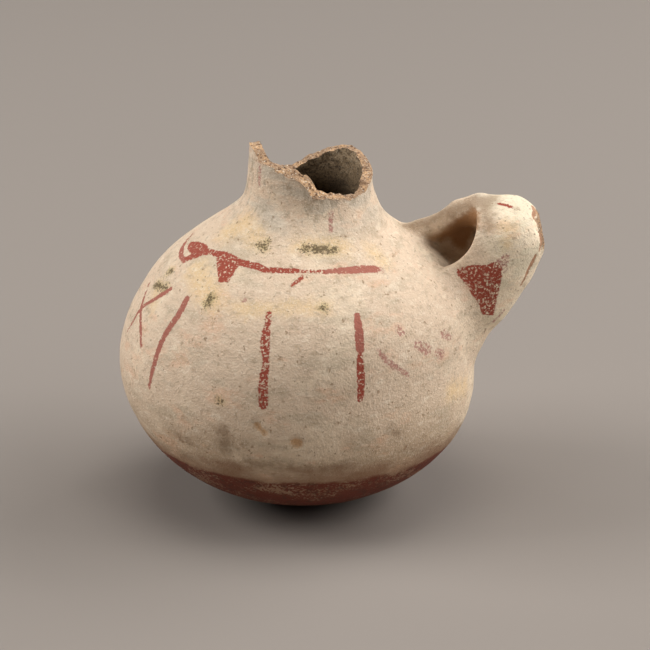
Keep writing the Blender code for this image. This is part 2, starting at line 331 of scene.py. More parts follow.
# %% Skin of a lattice
def lattice_skin(place, gap):
    """One vertex in each cell that the skin passes, and the faces between those cells."""
    inside = gap < 0
    cells = np.array(gap.shape) - 1
    total, count = np.zeros((*cells, 3)), np.zeros(cells)
    edges = []
    for axis in range(3):
        others = [k for k in range(3) if k != axis]
        lower, upper = np.moveaxis(gap, axis, 0)[:-1], np.moveaxis(gap, axis, 0)[1:]
        crossed = (lower < 0) != (upper < 0)
        part = lower / np.where(crossed, lower - upper, 1)
        ends = np.moveaxis(place, axis, 0)
        point = (ends[:-1] + part[..., None] * (ends[1:] - ends[:-1])) * crossed[..., None]
        point, crossed = np.moveaxis(point, 0, axis), np.moveaxis(crossed, 0, axis)
        for one in (0, 1):
            for two in (0, 1):
                cut = [slice(None)] * 3
                cut[others[0]] = slice(one, one + cells[others[0]])
                cut[others[1]] = slice(two, two + cells[others[1]])
                total += point[tuple(cut)]
                count += crossed[tuple(cut)]
        edges.append(crossed)
    number = np.full(cells, -1)
    number[count > 0] = np.arange((count > 0).sum())
    faces = []
    for axis, crossed in enumerate(edges):
        others = [k for k in range(3) if k != axis]
        inner = [slice(None)] * 3
        inner[others[0]] = inner[others[1]] = slice(1, -1)
        at = np.argwhere(crossed[tuple(inner)])
        corners = []
        for one, two in ((0, 0), (1, 0), (1, 1), (0, 1)):
            cell = at.copy()
            cell[:, others[0]] += one
            cell[:, others[1]] += two
            corners.append(number[tuple(cell.T)])
        quads = np.stack(corners, -1)
        start = at.copy()
        start[:, others[0]] += 1
        start[:, others[1]] += 1
        leaving = inside[tuple(start.T)]
        backwards = leaving if axis != 1 else ~leaving
        quads[backwards] = quads[backwards][:, ::-1]
        faces.append(quads)
    return number, total[count > 0] / count[count > 0][:, None], np.concatenate(faces)


out_lines = OUT_STEP * (np.arange(OUT_LINES) - 1.5)
line_r, line_z = on_curve(lug_lines[:, None, None], out_lines[None, None, :])
lattice = turned(line_r, line_z, np.radians(turn_lines)[None, :, None])
number, lug_points, lug_faces = lattice_skin(lattice, clay(*np.moveaxis(lattice, -1, 0)))
print("lug skin: %d vertices, %d faces" % (len(lug_points), len(lug_faces)))

# %% [markdown]
# The crossings give a skin with small steps. Each vertex is moved towards the middle of its
# neighbours, but only sideways, and then straight onto the zero of the distance. After a few
# rounds the faces are even and the form is exact. The rim of the block stays where the rows and
# columns want it.

# %% Evening out the lug's faces
def slope_of(points, size=0.15):
    """Unit direction in which the distance grows, from differences over a small step."""
    grow = []
    for axis in range(3):
        step = np.zeros(3)
        step[axis] = size
        grow.append(clay(*(points + step).T) - clay(*(points - step).T))
    grow = np.stack(grow, -1)
    return grow / np.maximum(np.linalg.norm(grow, axis=-1, keepdims=True), 1e-9)


def onto_clay(points, rounds=2):
    """Moves points along the slope by their distance, so that they lie on the skin."""
    for _ in range(rounds):
        points = points - slope_of(points) * clay(*points.T)[:, None]
    return points


def evened(points, faces, held, rounds):
    """Each round: halfway to the mean of the neighbours, sideways only, then back to the skin."""
    start = faces.ravel()
    end = np.roll(faces, -1, axis=1).ravel()
    pairs = np.concatenate([start, end]), np.concatenate([end, start])
    near = np.bincount(pairs[0], minlength=len(points))
    for _ in range(rounds):
        sums = [np.bincount(pairs[0], points[pairs[1], k], len(points)) for k in range(3)]
        move = np.stack(sums, -1) / near[:, None] - points
        slope = slope_of(points)
        move -= slope * (move * slope).sum(-1, keepdims=True)
        free = points + 0.5 * move - slope * clay(*points.T)[:, None]
        points = np.where(held[:, None], points, free)
    return points


ring = np.ones(number.shape[:2], bool)
ring[1:-1, 1:-1] = False
ring_cells = number.max(axis=2)
assert ((number >= 0).sum(axis=2)[ring] == 1).all(), "the block's rim isn't plain"
rim_r, rim_z = on_curve((lug_lines[1:] + lug_lines[:-1])[:, None] / 2)
turn_middles = np.radians(turn_lines[1:] + turn_lines[:-1])[None, :] / 2
lug_points[ring_cells[ring]] = turned(rim_r, rim_z, turn_middles)[ring]
held = np.zeros(len(lug_points), bool)
held[ring_cells[ring]] = True
lug_points = evened(lug_points, lug_faces, held, 10)
left_over = np.abs(clay(*lug_points.T)).max()
print("furthest vertex from the skin %.3f mm" % left_over)

# %% [markdown]
# ## The broken neck and the inside
#
# The neck snapped off unevenly: a tall splinter stands at the left, and at the front the break dips
# in an S. Its outer and inner edges run at different heights, because the break slopes across
# the wall. The rows go on up the neck, over the break and down inside to the middle of the floor, so
# the bottle is one closed skin with a true wall.

# %% The break, in degrees round from the lug and millimetres below the neck's top
BREAK_TURN = np.array([
    0, 20, 32, 46, 57, 72, 80, 92, 104, 113, 140, 165, 174, 182, 197, 204, 216, 232, 240, 248,
    256, 264, 268, 272, 277, 284, 300, 305, 316, 327, 336, 341, 352,
])
OUTER_DROP = np.array([
    13.0, 11.0, 8.8, 8.2, 7.8, 10.0, 11.6, 13.8, 16.8, 17.8, 16.8, 14.0, 7.0, 0.9, 0.8, 2.0, 5.0, 5.4,
    7.0, 8.5, 9.2, 10.6, 12.6, 16.0, 16.5, 16.6, 16.9, 18.2, 17.8, 17.2, 16.2, 15.2, 13.8,
])
INNER_DROP = np.array([
    12.5, 10.0, 8.0, 7.8, 9.0, 11.2, 12.8, 15.0, 17.8, 18.4, 17.8, 13.8, 6.0, 0.4, 0.3, 2.0, 4.5, 5.0,
    5.6, 6.1, 6.7, 7.8, 9.0, 10.8, 13.6, 14.9, 16.2, 17.0, 17.7, 18.2, 17.4, 14.6, 13.0,
])
RAGGED = 0.32


def wavering(turn, seed, low=9, high=48):
    """A seeded sum of sines round the pot, quicker ones weaker, about 1 at most."""
    draw = np.random.default_rng(seed)
    times = np.arange(low, high)
    phase = draw.uniform(0, 2 * math.pi, len(times))
    weight = draw.uniform(0.3, 1.0, len(times)) / np.sqrt(times / low)
    waves = np.sin(turn[..., None] * times + phase) * weight
    return waves.sum(-1) / np.sqrt((weight ** 2).sum())


def break_edge(turn, drop, seed):
    """Height of one edge of the break round the pot, with its small raggedness."""
    height = NECK_TOP - np.interp(np.degrees(turn), BREAK_TURN, drop, period=360)
    return np.minimum(height + RAGGED * wavering(turn, seed), cad_box[1][2] / MM)


INNER_THICK = WALL + (FLOOR - WALL) * np.maximum(0, 1 - CURVE_Z / BELLY_HEIGHT) ** 2
INNER_R, INNER_Z = CURVE_R - INNER_THICK * CURVE_NR, CURVE_Z - INNER_THICK * CURVE_NZ
INNER_START = 118.0
NECK_ROWS, BREAK_ROWS, BORE_ROWS, CAVITY_ROWS = 20, 12, 18, 54
CROWDING = 1.25
POLE_GAP = 2.0
outer_edge, inner_edge = break_edge(columns, OUTER_DROP, 3), break_edge(columns, INNER_DROP, 4)
print("break, mm: outer edge %.1f to %.1f" % (outer_edge.min(), outer_edge.max()))


def inner_radius(height):
    """Radius of the bore at a height above the inside of the shoulder."""
    upper = INNER_Z > 90
    return np.interp(height, INNER_Z[upper], INNER_R[upper])


def neck_grid():
    """Rows from the shoulder up to the break: height from the last row to the edge, eased."""
    start = on_curve(rows[-1])[1]
    part = 1 - (1 - np.arange(1, NECK_ROWS + 1) / NECK_ROWS) ** CROWDING
    height = start + (outer_edge - start) * part[:, None]
    return turned(outer_radius(height), height, columns)


def break_grid():
    """Rows across the wall: a straight line from the outer edge to the inner edge."""
    part = (np.arange(1, BREAK_ROWS) / BREAK_ROWS)[:, None]
    radius = outer_radius(outer_edge) * (1 - part) + inner_radius(inner_edge) * part
    return turned(radius, outer_edge * (1 - part) + inner_edge * part, columns)


def bore_grid():
    """Rows from the inner edge down to the inside of the shoulder."""
    part = (np.arange(BORE_ROWS) / BORE_ROWS)[:, None] ** CROWDING
    height = inner_edge + (INNER_START - inner_edge) * part
    return turned(inner_radius(height), height, columns)


def cavity_grid():
    """Rows on down the inside: the outer curve moved in square to itself by the wall."""
    top = np.interp(INNER_START, INNER_Z[INNER_Z > 90], CURVE_S[INNER_Z > 90])
    along = np.linspace(top, POLE_GAP, CAVITY_ROWS)[:, None]
    return turned(np.interp(along, CURVE_S, INNER_R), np.interp(along, CURVE_S, INNER_Z), columns)


body_grid = turned(*on_curve(rows[:, None]), columns)
grids = [body_grid, neck_grid(), break_grid(), bore_grid(), cavity_grid()]
sheet = np.concatenate(grids)
print("rows on each stretch:", [len(grid) for grid in grids])

# %% Sewing it all into one closed skin
def sewn():
    """Vertices and faces of the skin: the sheet, less its block, plus the lug and two poles."""
    taken = np.zeros(sheet.shape[:2], bool)
    last_row, last_column = first_row + ring.shape[0], first_column + ring.shape[1]
    block = np.s_[first_row:last_row, first_column:last_column]
    taken[block] = True
    names = np.full(taken.shape, -1)
    names[~taken] = np.arange((~taken).sum())
    lug_start = (~taken).sum()
    names[block] = np.where(ring, ring_cells + lug_start, -1)
    nxt = np.roll(names, -1, axis=1)
    quads = np.stack([names[:-1], nxt[:-1], nxt[1:], names[1:]], -1)
    inner = np.zeros(quads.shape[:2], bool)
    inner[first_row:last_row - 1, first_column:last_column - 1] = True
    quads = quads[~inner].reshape(-1, 4)
    under = np.array([[lean(0.0), 0.0, 0.0]])
    floor = np.array([[lean(FLOOR), 0.0, INNER_Z[0]]])
    points = np.concatenate([sheet[~taken], lug_points, under, floor])
    pole, floor_pole = len(points) - 2, len(points) - 1
    fans = np.concatenate([
        np.stack([nxt[0], names[0], np.full(len(columns), pole)], -1),
        np.stack([names[-1], nxt[-1], np.full(len(columns), floor_pole)], -1),
    ])
    return points, np.concatenate([quads, lug_faces + lug_start]), fans, taken


points, quads, fans, taken = sewn()
triangles = 2 * len(quads) + len(fans)
print("skin: %d vertices, %d triangles" % (len(points), triangles))


def signed_volume(points, faces):
    """Sum of the small pyramids from the origin to each face, positive when faces point out."""
    return sum(
        (points[faces[:, 0]] * np.cross(points[faces[:, k]], points[faces[:, k + 1]])).sum() / 6
        for k in range(1, faces.shape[1] - 1)
    )


print("clay, cubic cm: %.1f" % ((signed_volume(points, quads) + signed_volume(points, fans)) / 1000))

# %% [markdown]
# ## Where the picture's marks lie on the clay
#
# The strokes, stains and chips are placed by where they're seen: a point is named by its place in
# the 650 by 650 picture, and a ray from the camera through it is followed until it meets the clay.
# The mark then has a place in space and a real width, so that it sits right from any side.
#
# The camera looks down on the bottle from a little over 20 degrees and from far enough away that
# the lug hardly looks nearer than the belly.

# %% The camera's place, and rays through the picture
PICTURE = 650
ELEVATION = math.radians(20.9)
DISTANCE = 1100.0
FOCAL_PIXELS = 2750.0
AIM = np.array([0.0, 0.0, 65.0])
AIM_SEEN_AT = (303.1, 336.4)
NEAR_SIDE, FAR_SIDE = DISTANCE - 120.0, DISTANCE + 90.0

toward_eye = np.array([0.0, -math.cos(ELEVATION), math.sin(ELEVATION)])
eye_up = np.array([0.0, math.sin(ELEVATION), math.cos(ELEVATION)])
eye = AIM + toward_eye * DISTANCE


def cast(spots):
    """Points on the clay seen at the picture's spots: steps along each ray by its distance."""
    spots = np.atleast_2d(np.asarray(spots, float))
    right = (spots[:, :1] - AIM_SEEN_AT[0]) * np.array([1.0, 0.0, 0.0])
    up = (AIM_SEEN_AT[1] - spots[:, 1:2]) * eye_up
    ray = right + up - FOCAL_PIXELS * toward_eye
    ray /= np.linalg.norm(ray, axis=1, keepdims=True)
    far = np.full(len(spots), NEAR_SIDE)
    nearest, best = far.copy(), np.full(len(spots), 1e9)
    for _ in range(120):
        gap = clay(*(eye + ray * far[:, None]).T)
        better = np.abs(gap) < best
        nearest[better], best[better] = far[better], np.abs(gap)[better]
        far = np.minimum(far + np.clip(0.7 * gap, -4, 8), FAR_SIDE)
    return onto_clay(eye + ray * nearest[:, None])


print("a mark at (361, 361) lies at", cast((361, 361)).round(1))

# %% [markdown]
# ## The painted strokes
#
# The red is an iron-rich slip, put on with a frayed brush before firing. The strokes are short
# bars and a long band under the neck, with a triangle on the lug. Much of it has flaked: the
# belly's left bars are whole, but the middle bar and the triangle have worn down to crumbs.
#
# Each vertex is given its distance to the edge of the nearest stroke, negative inside. The finish
# cuts that distance with fine noise, so that the edge stays sharp on a coarse mesh.

# %% Strokes as picture points with widths in millimetres, and how far each has crumbled
STROKES = (
    ("curl", 0.25, (
        (184.8, 241.7, 1.4), (181.1, 249, 1.9), (180.6, 255, 1.9), (184, 262, 1.2),
    )),
    ("from the head to the wedge", 0.4, ((208, 250.5, 2), (219, 254.5, 2.4))),
    ("curl's thin end", 0.7, ((201, 227, 0.6), (192.5, 233, 0.9), (184.8, 241.7, 1.3))),
    ("band", 0.45, (
        (236, 261, 2.6), (248, 263.6, 2.5), (257.5, 266, 2.6), (266, 269.4, 2.2),
        (279, 270, 2.2), (294, 270.4, 1.9), (303, 271, 1),
    )),
    ("band end", 0.15, (
        (324, 271.6, 1.2), (335, 270.4, 2), (349, 270, 2.9), (362, 268.6, 3.2),
        (376, 268.6, 3),
    )),
    ("band trace", 0.9, ((303, 271, 1), (325, 271.5, 1.2))),
    ("tail", 0.6, ((302, 277, 1.2), (292.4, 284.8, 1.2))),
    ("bar, far left", 0.1, (
        (148.9, 281.3, 1), (144.5, 293, 1.3), (141, 304.8, 1.6), (139.5, 318, 1.6),
        (139.7, 333, 1.5), (140.5, 346.5, 1.1),
    )),
    ("bar across it", 0.2, (
        (170.4, 288.7, 1.6), (164.3, 293, 1.7), (154, 299, 1.5), (144.5, 304.8, 1.4),
        (138.6, 310, 1.4), (132, 321, 1.1), (126.4, 330.5, 0.8),
    )),
    ("bar, left", 0.1, (
        (186.3, 298.6, 2.3), (181.5, 308.5, 2.7), (176.7, 316.5, 2.6), (168.7, 327.5, 2.4),
        (160.6, 341.5, 2.3), (155.5, 356.2, 2.1), (151.5, 371, 1.9), (148.6, 387.5, 1.2),
    )),
    ("bar, middle, top", 1, ((268.6, 313, 1.6), (267.8, 322, 2), (265.9, 329, 1.6))),
    ("bar, middle", 0.8, (
        (265.8, 332, 2.8), (264.6, 345, 3.3), (265.6, 356, 2.4), (265.8, 366, 2.2),
        (263.6, 376, 2.8), (263.2, 390, 3.3), (263.2, 405.5, 3),
    )),
    ("bar, right, top", 0.25, (
        (357.2, 314.5, 1.7), (358.4, 326, 2.9), (359.8, 340, 3.2), (360.6, 350.5, 2.7),
    )),
    ("bar, right", 0.6, (
        (360.2, 356.5, 1.9), (360.4, 366, 2.5), (361, 377, 2.9), (361.4, 390, 2.5),
        (360.2, 399.5, 2),
    )),
    ("dash on the lug", 0.5, ((498.5, 202.2, 0.9), (505, 204, 1.2), (512, 206.6, 1))),
)
FILLED = (
    ("head of the band", 0.35, (
        (189.5, 241.5), (198, 241), (205.5, 244), (208.5, 248), (215, 250.5), (212, 254.5),
        (203.5, 254.5), (196, 257.5), (185.5, 261.5), (183.5, 258), (191, 253.5), (186.8, 248),
    )),
    ("wedge below the band", 0.6, (
        (216, 250), (227.5, 251.5), (241.5, 259), (236.5, 267), (233, 273), (228, 281),
        (218, 282), (216.5, 265),
    )),
    ("triangle on the lug", 0.8, (
        (456.5, 269), (470.8, 265.5), (484, 265.5), (497, 261.5), (501.5, 266), (502, 275),
        (500.5, 285), (497, 298), (494, 315.5), (482.5, 315), (479.5, 305), (470.5, 292),
        (464.5, 282), (457.5, 275),
    )),
)
FADED = (
    ("lost bar", 0.3, (
        (378, 350.5, 0.9), (385.7, 360, 1.7), (394.5, 366, 1.9), (408.5, 375.5, 1.3),
    )),
    ("rubbed paint", 0.8, ((419, 345.5, 3.6), (429, 350, 4))),
    ("rubbed paint", 0.8, ((439, 353, 3.2), (442.5, 355, 3.2))),
    ("rubbed paint", 0.9, ((444, 333, 3), (450, 337.5, 2.6))),
    ("rubbed paint", 0.9, ((399, 328, 2.4), (402, 333, 2.4))),
    ("spot", 0.4, ((243, 299, 1.4), (244, 299.2, 1.4))),
    ("band's lost end", 0.8, ((376, 268.5, 3), (380.5, 269.5, 2.4))),
    ("drip on the neck", 0.7, ((331.5, 214, 1.5), (331, 231, 1.2))),
    ("drip on the splinter", 0.7, ((259.5, 152, 1.4), (258.8, 184, 1.1))),
    ("edge of the lug", 0.5, ((504.5, 310.5, 0.8), (493, 322.5, 0.8))),
    ("triangle's lost corner", 0.8, ((500, 261, 2), (505.5, 257.5, 2.4), (504.5, 270, 1.6))),
)
LICHEN = (
    ("under the neck", ((306, 248, 1.8), (320, 249, 2.4), (334, 249.5, 1.6))),
    ("left of it", ((258, 244, 0.8), (265, 248, 1.4))),
    ("left of it", ((266.5, 240.5, 0.6), (267.5, 241, 0.6))),
    ("left shoulder", ((155, 284.5, 1.8), (165, 287.5, 2))),
    ("spot", ((211, 297, 2), (207, 304, 1.6))),
    ("spot", ((323, 307.7, 1.2), (324.5, 307.7, 1.2))),
    ("spot", ((169, 271, 1.4), (170.5, 271.5, 1.4))),
    ("spot", ((219, 401, 1), (219.5, 401.5, 1))),
)
STAINS_AND_SHADE = (
    ("brown, low on the left", ((222, 431, 5), (226, 446, 6))),
    ("brown, at the far left", ((180, 439, 3), (190, 443, 3))),
    ("grey, low on the right", ((392, 430, 3), (398, 434, 3))),
    # Brown along the ridge: partly a real stain, partly painted shade where the ridge faces away from
    # the light
    ("on the ridge", (
        (405, 226, 4), (430, 219, 5), (455, 207, 6), (488, 199, 9),
    )),
    ("beside the pocket", ((483, 201, 7), (490, 226, 5))),
    ("brown, above the red", ((250, 462, 3), (302, 470, 3.6), (352, 466, 2.4))),
)
BUFF = (
    ("foot of the neck, left", ((228, 232, 9), (244, 221, 8), (256, 238, 6))),
    ("round the middle lichen", ((300, 246, 5), (345, 247, 5))),
    ("left shoulder", ((196, 270, 9), (206, 290, 11), (216, 302, 6))),
    ("below the band", ((236, 308, 4), (262, 309, 4), (324, 308, 4))),
    ("far left", ((158, 288, 4), (152, 305, 4))),
    ("foot of the neck, right", ((372, 250, 4), (384, 262, 5))),
    ("right of the belly", ((452, 392, 6), (466, 386, 6))),
    ("lug", ((506, 226, 2.6), (508, 246, 2.6))),
)
PITS = (
    ("left", ((256.7, 426, 2.2), (260, 429.6, 1.4), (264.5, 433.6, 1.8))),
    ("right", ((295.5, 443.5, 3.4), (297.5, 444, 3.4))),
)
CHIPS = (
    ("tip of the lug", ((534, 206.5, 1.8), (535, 215, 1.8))),
    ("right side of the lug", ((542, 235, 1.8), (541.5, 250, 1.8))),
    ("right side of the lug", ((537, 257, 1.6), (530, 271, 1.8), (522, 286, 1))),
)
NOTCHES = (
    ("below the tip", ((537, 217, 3.6), (538.5, 229, 2.6))),
)

# Outline, in the picture, of the part of the lug's pocket painted darker: painted shade under the
# ridge, kept to the box and to faces towards the camera
POCKET_DARK = (
    (432, 238), (446, 228), (460, 217), (472, 209), (479, 208), (478, 222), (472, 237), (464, 250),
    (457, 249), (450, 240), (440, 241),
)
POCKET_BOX = ((40.0, -14.0, 80.0), (84.0, 80.0, 120.0))

# How far a stroke soaks out past its measured edge, and a gap that means nowhere near, in mm
BLEED = 0.2
FAR = 99.0


def stroke_gap(points, picked):
    """Distance to a chain of round-ended bars whose half width runs evenly from point to point."""
    path = cast([spot[:2] for spot in picked])
    half = np.array([spot[2] for spot in picked]) / 2 + BLEED
    gap = np.full(len(points), FAR)
    for start, end, wide, wide_end in zip(path, path[1:], half, half[1:]):
        run = end - start
        along = np.clip(((points - start) @ run) / (run @ run), 0, 1)
        off = np.linalg.norm(points - start - along[:, None] * run, axis=1)
        gap = np.minimum(gap, off - wide - (wide_end - wide) * along)
    return gap


def outline_gap(flat, corners):
    """Signed distance from flat points to a closed outline, negative inside it."""
    gap, crossings = np.full(len(flat), FAR), np.zeros(len(flat), int)
    for start, end in zip(corners, np.roll(corners, -1, axis=0)):
        run = end - start
        along = np.clip(((flat - start) @ run) / (run @ run), 0, 1)
        gap = np.minimum(gap, np.linalg.norm(flat - start - along[:, None] * run, axis=1))
        spans = (start[1] > flat[:, 1]) != (end[1] > flat[:, 1])
        meets = start[0] + (flat[:, 1] - start[1]) * run[0] / np.where(run[1] == 0, 1e-9, run[1])
        crossings += spans & (flat[:, 0] < meets)
    return np.where(crossings % 2 == 1, -gap, gap)


def filled_gap(points, corners):
    """Distance to an outline that lies flat on its own plane, negative inside it."""
    path = cast(corners)
    middle = path.mean(axis=0)
    across, upward, facing = np.linalg.svd(path - middle)[2]
    flat = np.stack([(points - middle) @ across, (points - middle) @ upward], -1)
    edge = np.stack([(path - middle) @ across, (path - middle) @ upward], -1)
    height = np.abs((points - middle) @ facing)
    return outline_gap(flat, edge) + np.maximum(0, height - 6.0)


def nearest_mark(points, groups):
    """The smallest distance to any mark of the groups, and how far that mark has crumbled."""
    gap, crumble = np.full(len(points), FAR), np.zeros(len(points))
    for gap_to, marks in groups:
        for _, *crumbled, picked in marks:
            this = gap_to(points, picked)
            crumble = np.where(this < gap, crumbled[0] if crumbled else 0.0, crumble)
            gap = np.minimum(gap, this)
    return gap, crumble


def seen_at(points):
    """Picture place of points: the focal length times the offset from the aim, over the depth."""
    off = points - eye
    depth = -(off @ toward_eye)
    across = AIM_SEEN_AT[0] + FOCAL_PIXELS * off[:, 0] / depth
    down = AIM_SEEN_AT[1] - FOCAL_PIXELS * (off @ eye_up) / depth
    return np.stack([across, down], -1)


paint, paint_wear = nearest_mark(points, ((stroke_gap, STROKES), (filled_gap, FILLED)))
faint, faint_wear = nearest_mark(points, ((stroke_gap, FADED),))
lichen, stain_and_shade, pit, buff, chip, notch = (
    nearest_mark(points, ((stroke_gap, marks),))[0]
    for marks in (LICHEN, STAINS_AND_SHADE, PITS, BUFF, CHIPS, NOTCHES)
)
in_pocket = ((points > POCKET_BOX[0]) & (points < POCKET_BOX[1])).all(axis=1)
in_pocket &= slope_of(points) @ toward_eye > 0
painted_shade = outline_gap(seen_at(points), np.array(POCKET_DARK, float)) * DISTANCE / FOCAL_PIXELS
painted_shade = np.where(in_pocket, painted_shade, FAR)
print("vertices under paint %d, under the pocket's soot %d" % ((paint < 0).sum(), (painted_shade < 0).sum()))

# %% [markdown]
# ## Unevenness, wear and grain
#
# Fingers and a wiping hand left the wall a little hollow here and there, and coarse grit shows
# where the clay broke. Both are put in by moving vertices along their normals by seeded noise: a
# lattice of random values, joined smoothly. A Displace modifier with a cloud texture does much
# the same. Whole arrays are used here, because the amount depends on which part of the skin a
# vertex is on.

# %% Which part of the skin each vertex is on
SMOOTH_ROWS = len(grids[0]) + len(grids[1])
RAW_DEPTH = 0.9


def on_sheet(values, on_lug, poles):
    """A value for each row and column spread over the vertices, in the order they were sewn."""
    full = np.broadcast_to(values, sheet.shape[:2])[~taken]
    return np.concatenate([full, np.full(len(lug_points), on_lug), poles])


def wall_part():
    """For each row, 0 on the outside, 1 on the inside, and the way across the wall between."""
    inner_rows = len(grids[3]) + len(grids[4])
    across = np.arange(1, len(grids[2]) + 1) / (len(grids[2]) + 1)
    return np.concatenate([np.zeros(SMOOTH_ROWS), across, np.ones(inner_rows)])[:, None]


part = wall_part()
edge_gap = np.where(part == 0, outer_edge - sheet[..., 2], inner_edge - sheet[..., 2])
edge_gap = np.where((part > 0) & (part < 1), -WALL * np.minimum(part, 1 - part), edge_gap)
inward = on_sheet(part, 0.0, [0.0, 1.0])
broken = on_sheet(edge_gap, FAR, [FAR, FAR])
tip = np.where(inward == 0, -RAW_DEPTH - tip_plane(points[:, 0], points[:, 2]), FAR)
raw = np.minimum(tip, chip)
print("vertices on the neck's break: %d" % (broken < 0).sum())
print("vertices on the lug's raw end: %d" % (raw < 0).sum())


# %% Moving the skin
def cloud(points, size, seed):
    """Seeded random values on a lattice of the given size, joined by the S-curve 3p^2 - 2p^3."""
    table = np.random.default_rng(seed).uniform(-1, 1, (32, 32, 32))
    place = points / size + 200.0
    low = np.floor(place).astype(int)
    part = place - low
    part = part * part * (3 - 2 * part)
    total = np.zeros(len(points))
    for corner in np.ndindex(2, 2, 2):
        weight = np.prod(np.where(np.array(corner) == 1, part, 1 - part), axis=-1)
        total += weight * table[tuple(((low + corner) % 32).T)]
    return total


def normals_of(points):
    """Mean direction of the faces at each vertex, from the cross product of their diagonals."""
    a, b, c, d = points[quads].swapaxes(0, 1)
    square = np.cross(c - a, d - b)
    a, b, c = points[fans].swapaxes(0, 1)
    three = np.cross(b - a, c - a)
    corners = np.concatenate([quads.ravel(), fans.ravel()])
    facing = np.concatenate([np.repeat(square, 4, axis=0), np.repeat(three, 3, axis=0)])
    total = np.stack([np.bincount(corners, facing[:, k], len(points)) for k in range(3)], -1)
    return total / np.maximum(np.linalg.norm(total, axis=1, keepdims=True), 1e-12)


def dent(gap, depth, soft):
    """Depth where the gap is negative, eased out to nothing over soft mm."""
    reach = np.clip(0.5 - gap / soft, 0, 1)
    return -depth * reach * reach * (3 - 2 * reach)


normals = normals_of(points)
above_foot = np.clip(points[:, 2] / 3.0, 0, 1)
outside = (inward == 0) * above_foot
WIPED = (1.0, 1.0, 2.2)
hand = 0.35 * (cloud(points, 24.0, 11) - 1) + 0.11 * cloud(points * WIPED, 9.0, 12)
hand += 0.04 * cloud(points, 3.0, 13)
grit = 0.40 * cloud(points, 1.7, 14) + 0.22 * cloud(points, 0.8, 15)
near_break = np.clip(0.5 - broken / 1.2, 0, 1)
near_raw = np.clip(0.5 - raw / 1.5, 0, 1) * (inward == 0)
push = hand * outside * (1 - near_break) + grit * near_break + 0.7 * cloud(points, 2.3, 16) * near_raw
for gap, depth, soft in ((chip, 0.4, 2.0), (pit, 0.9, 1.4), (notch, 1.1, 2.6)):
    push += dent(gap, depth, soft) * outside
push += 0.5 * cloud(points, 12.0, 17) * (inward == 1) * (broken > 3)
formed = points + normals * push[:, None]
print("moved by %.2f to %.2f mm" % (push.min(), push.max()))


# %% How far each place lies in a hollow, for the shade painted there
def hollow(points, normals):
    """Share of a short way out along the normal that the clay takes back, over three lengths."""
    total = np.zeros(len(points))
    for reach in (4.0, 9.0, 18.0):
        total += np.clip((reach - clay(*(points + normals * reach).T)) / reach, 0, 1) / 3
    return total


# This measure darkens the colour below: painted shade where the clay shuts out the light
sheltered = np.where(inward == 0, hollow(points, normals), 1.0)
print("most sheltered place outside: %.2f" % sheltered[inward == 0].max())

# %% [markdown]
# ## The bottle's mesh
#
# The vertices become one mesh in metres. The measured gaps go with it as one number a vertex,
# so that the finish can ask at any point how far it is from a stroke or a break.

# %% One mesh with its measures
mesh = bpy.data.meshes.new("bottle skin")
mesh.from_pydata(formed * MM, [], quads.tolist() + fans.tolist())
mesh.validate()
measures = {
    "paint": paint, "paint_wear": paint_wear, "faint": faint, "faint_wear": faint_wear,
    "lichen": lichen, "stain_and_shade": stain_and_shade, "pit": pit, "painted_shade": painted_shade, "buff": buff,
    "chip": chip, "raw": raw, "broken": broken,
    "inward": inward, "sheltered": sheltered,
}
for name, values in measures.items():
    layer = mesh.attributes.new(name, "FLOAT", "POINT")
    layer.data.foreach_set("value", np.clip(values, -20, 20).astype(np.float32))
mesh.shade_smooth()
mesh.set_sharp_from_angle(angle=math.radians(50))
bottle = bpy.data.objects.new("bottle_skin", mesh)
bpy.context.scene.collection.objects.link(bottle)
print("faces %d, measures %d" % (len(mesh.polygons), len(measures)))

# %% [markdown]
# ## Finishes
#
# Colours are given as the eye names them and turned linear by one function. Every finish is a
# pile of layers: each has a colour and a mask, and covers what lies under it. A mask is a value
# cut between two levels, and the value is soft noise or a gap measured on the mesh. Fine noise
# added to a gap makes its edge ragged, as brushed and worn edges are.

# %% Helpers for the finishes
def linear(code):
    """Linear red, green, blue and 1 from a colour code, by the sRGB curve."""
    parts = np.array([int(code[k:k + 2], 16) / 255 for k in (1, 3, 5)])
    curve = np.where(parts <= 0.04045, parts / 12.92, ((parts + 0.055) / 1.055) ** 2.4)
    return (*curve.tolist(), 1.0)


def blank(name):
    """A new material and its emptied node tree."""
    material = bpy.data.materials.new(name)
    material.use_nodes = True
    material.node_tree.nodes.clear()
    return material, material.node_tree


def add(tree, kind, inputs=(), out=0, **settings):
    """Adds a node with its settings, each input a constant or a link, and gives one output."""
    made = tree.nodes.new("ShaderNode" + kind)
    for name, value in settings.items():
        setattr(made, name, value)
    for key, value in inputs.items() if isinstance(inputs, dict) else enumerate(inputs):
        if isinstance(value, bpy.types.NodeSocket):
            tree.links.new(value, made.inputs[key])
        else:
            made.inputs[key].default_value = value
    return made.outputs[out] if made.outputs else None


def mask(tree, value, low, high, top=1.0, grain=None, amount=0.0, within=None):
    """Goes from 0 to top as value + (grain - 0.5) * amount goes from low to high, times within."""
    if grain is not None:
        centred = add(tree, "Math", [grain, 0.5], operation="SUBTRACT")
        value = add(tree, "Math", [centred, amount, value], operation="MULTIPLY_ADD")
    cut = add(tree, "MapRange", [value, low, high, 0.0, top], interpolation_type="SMOOTHSTEP")
    return cut if within is None else add(tree, "Math", [cut, within], operation="MULTIPLY")


def pile(tree, base, layers):
    """Covers a base colour with each layer's colour in turn, where its mask is 1."""
    colour = linear(base) if isinstance(base, str) else base
    for over, covered in layers:
        over = linear(over) if isinstance(over, str) else over
        colour = add(tree, "Mix", {0: covered, 6: colour, 7: over}, 2, data_type="RGBA")
    return colour
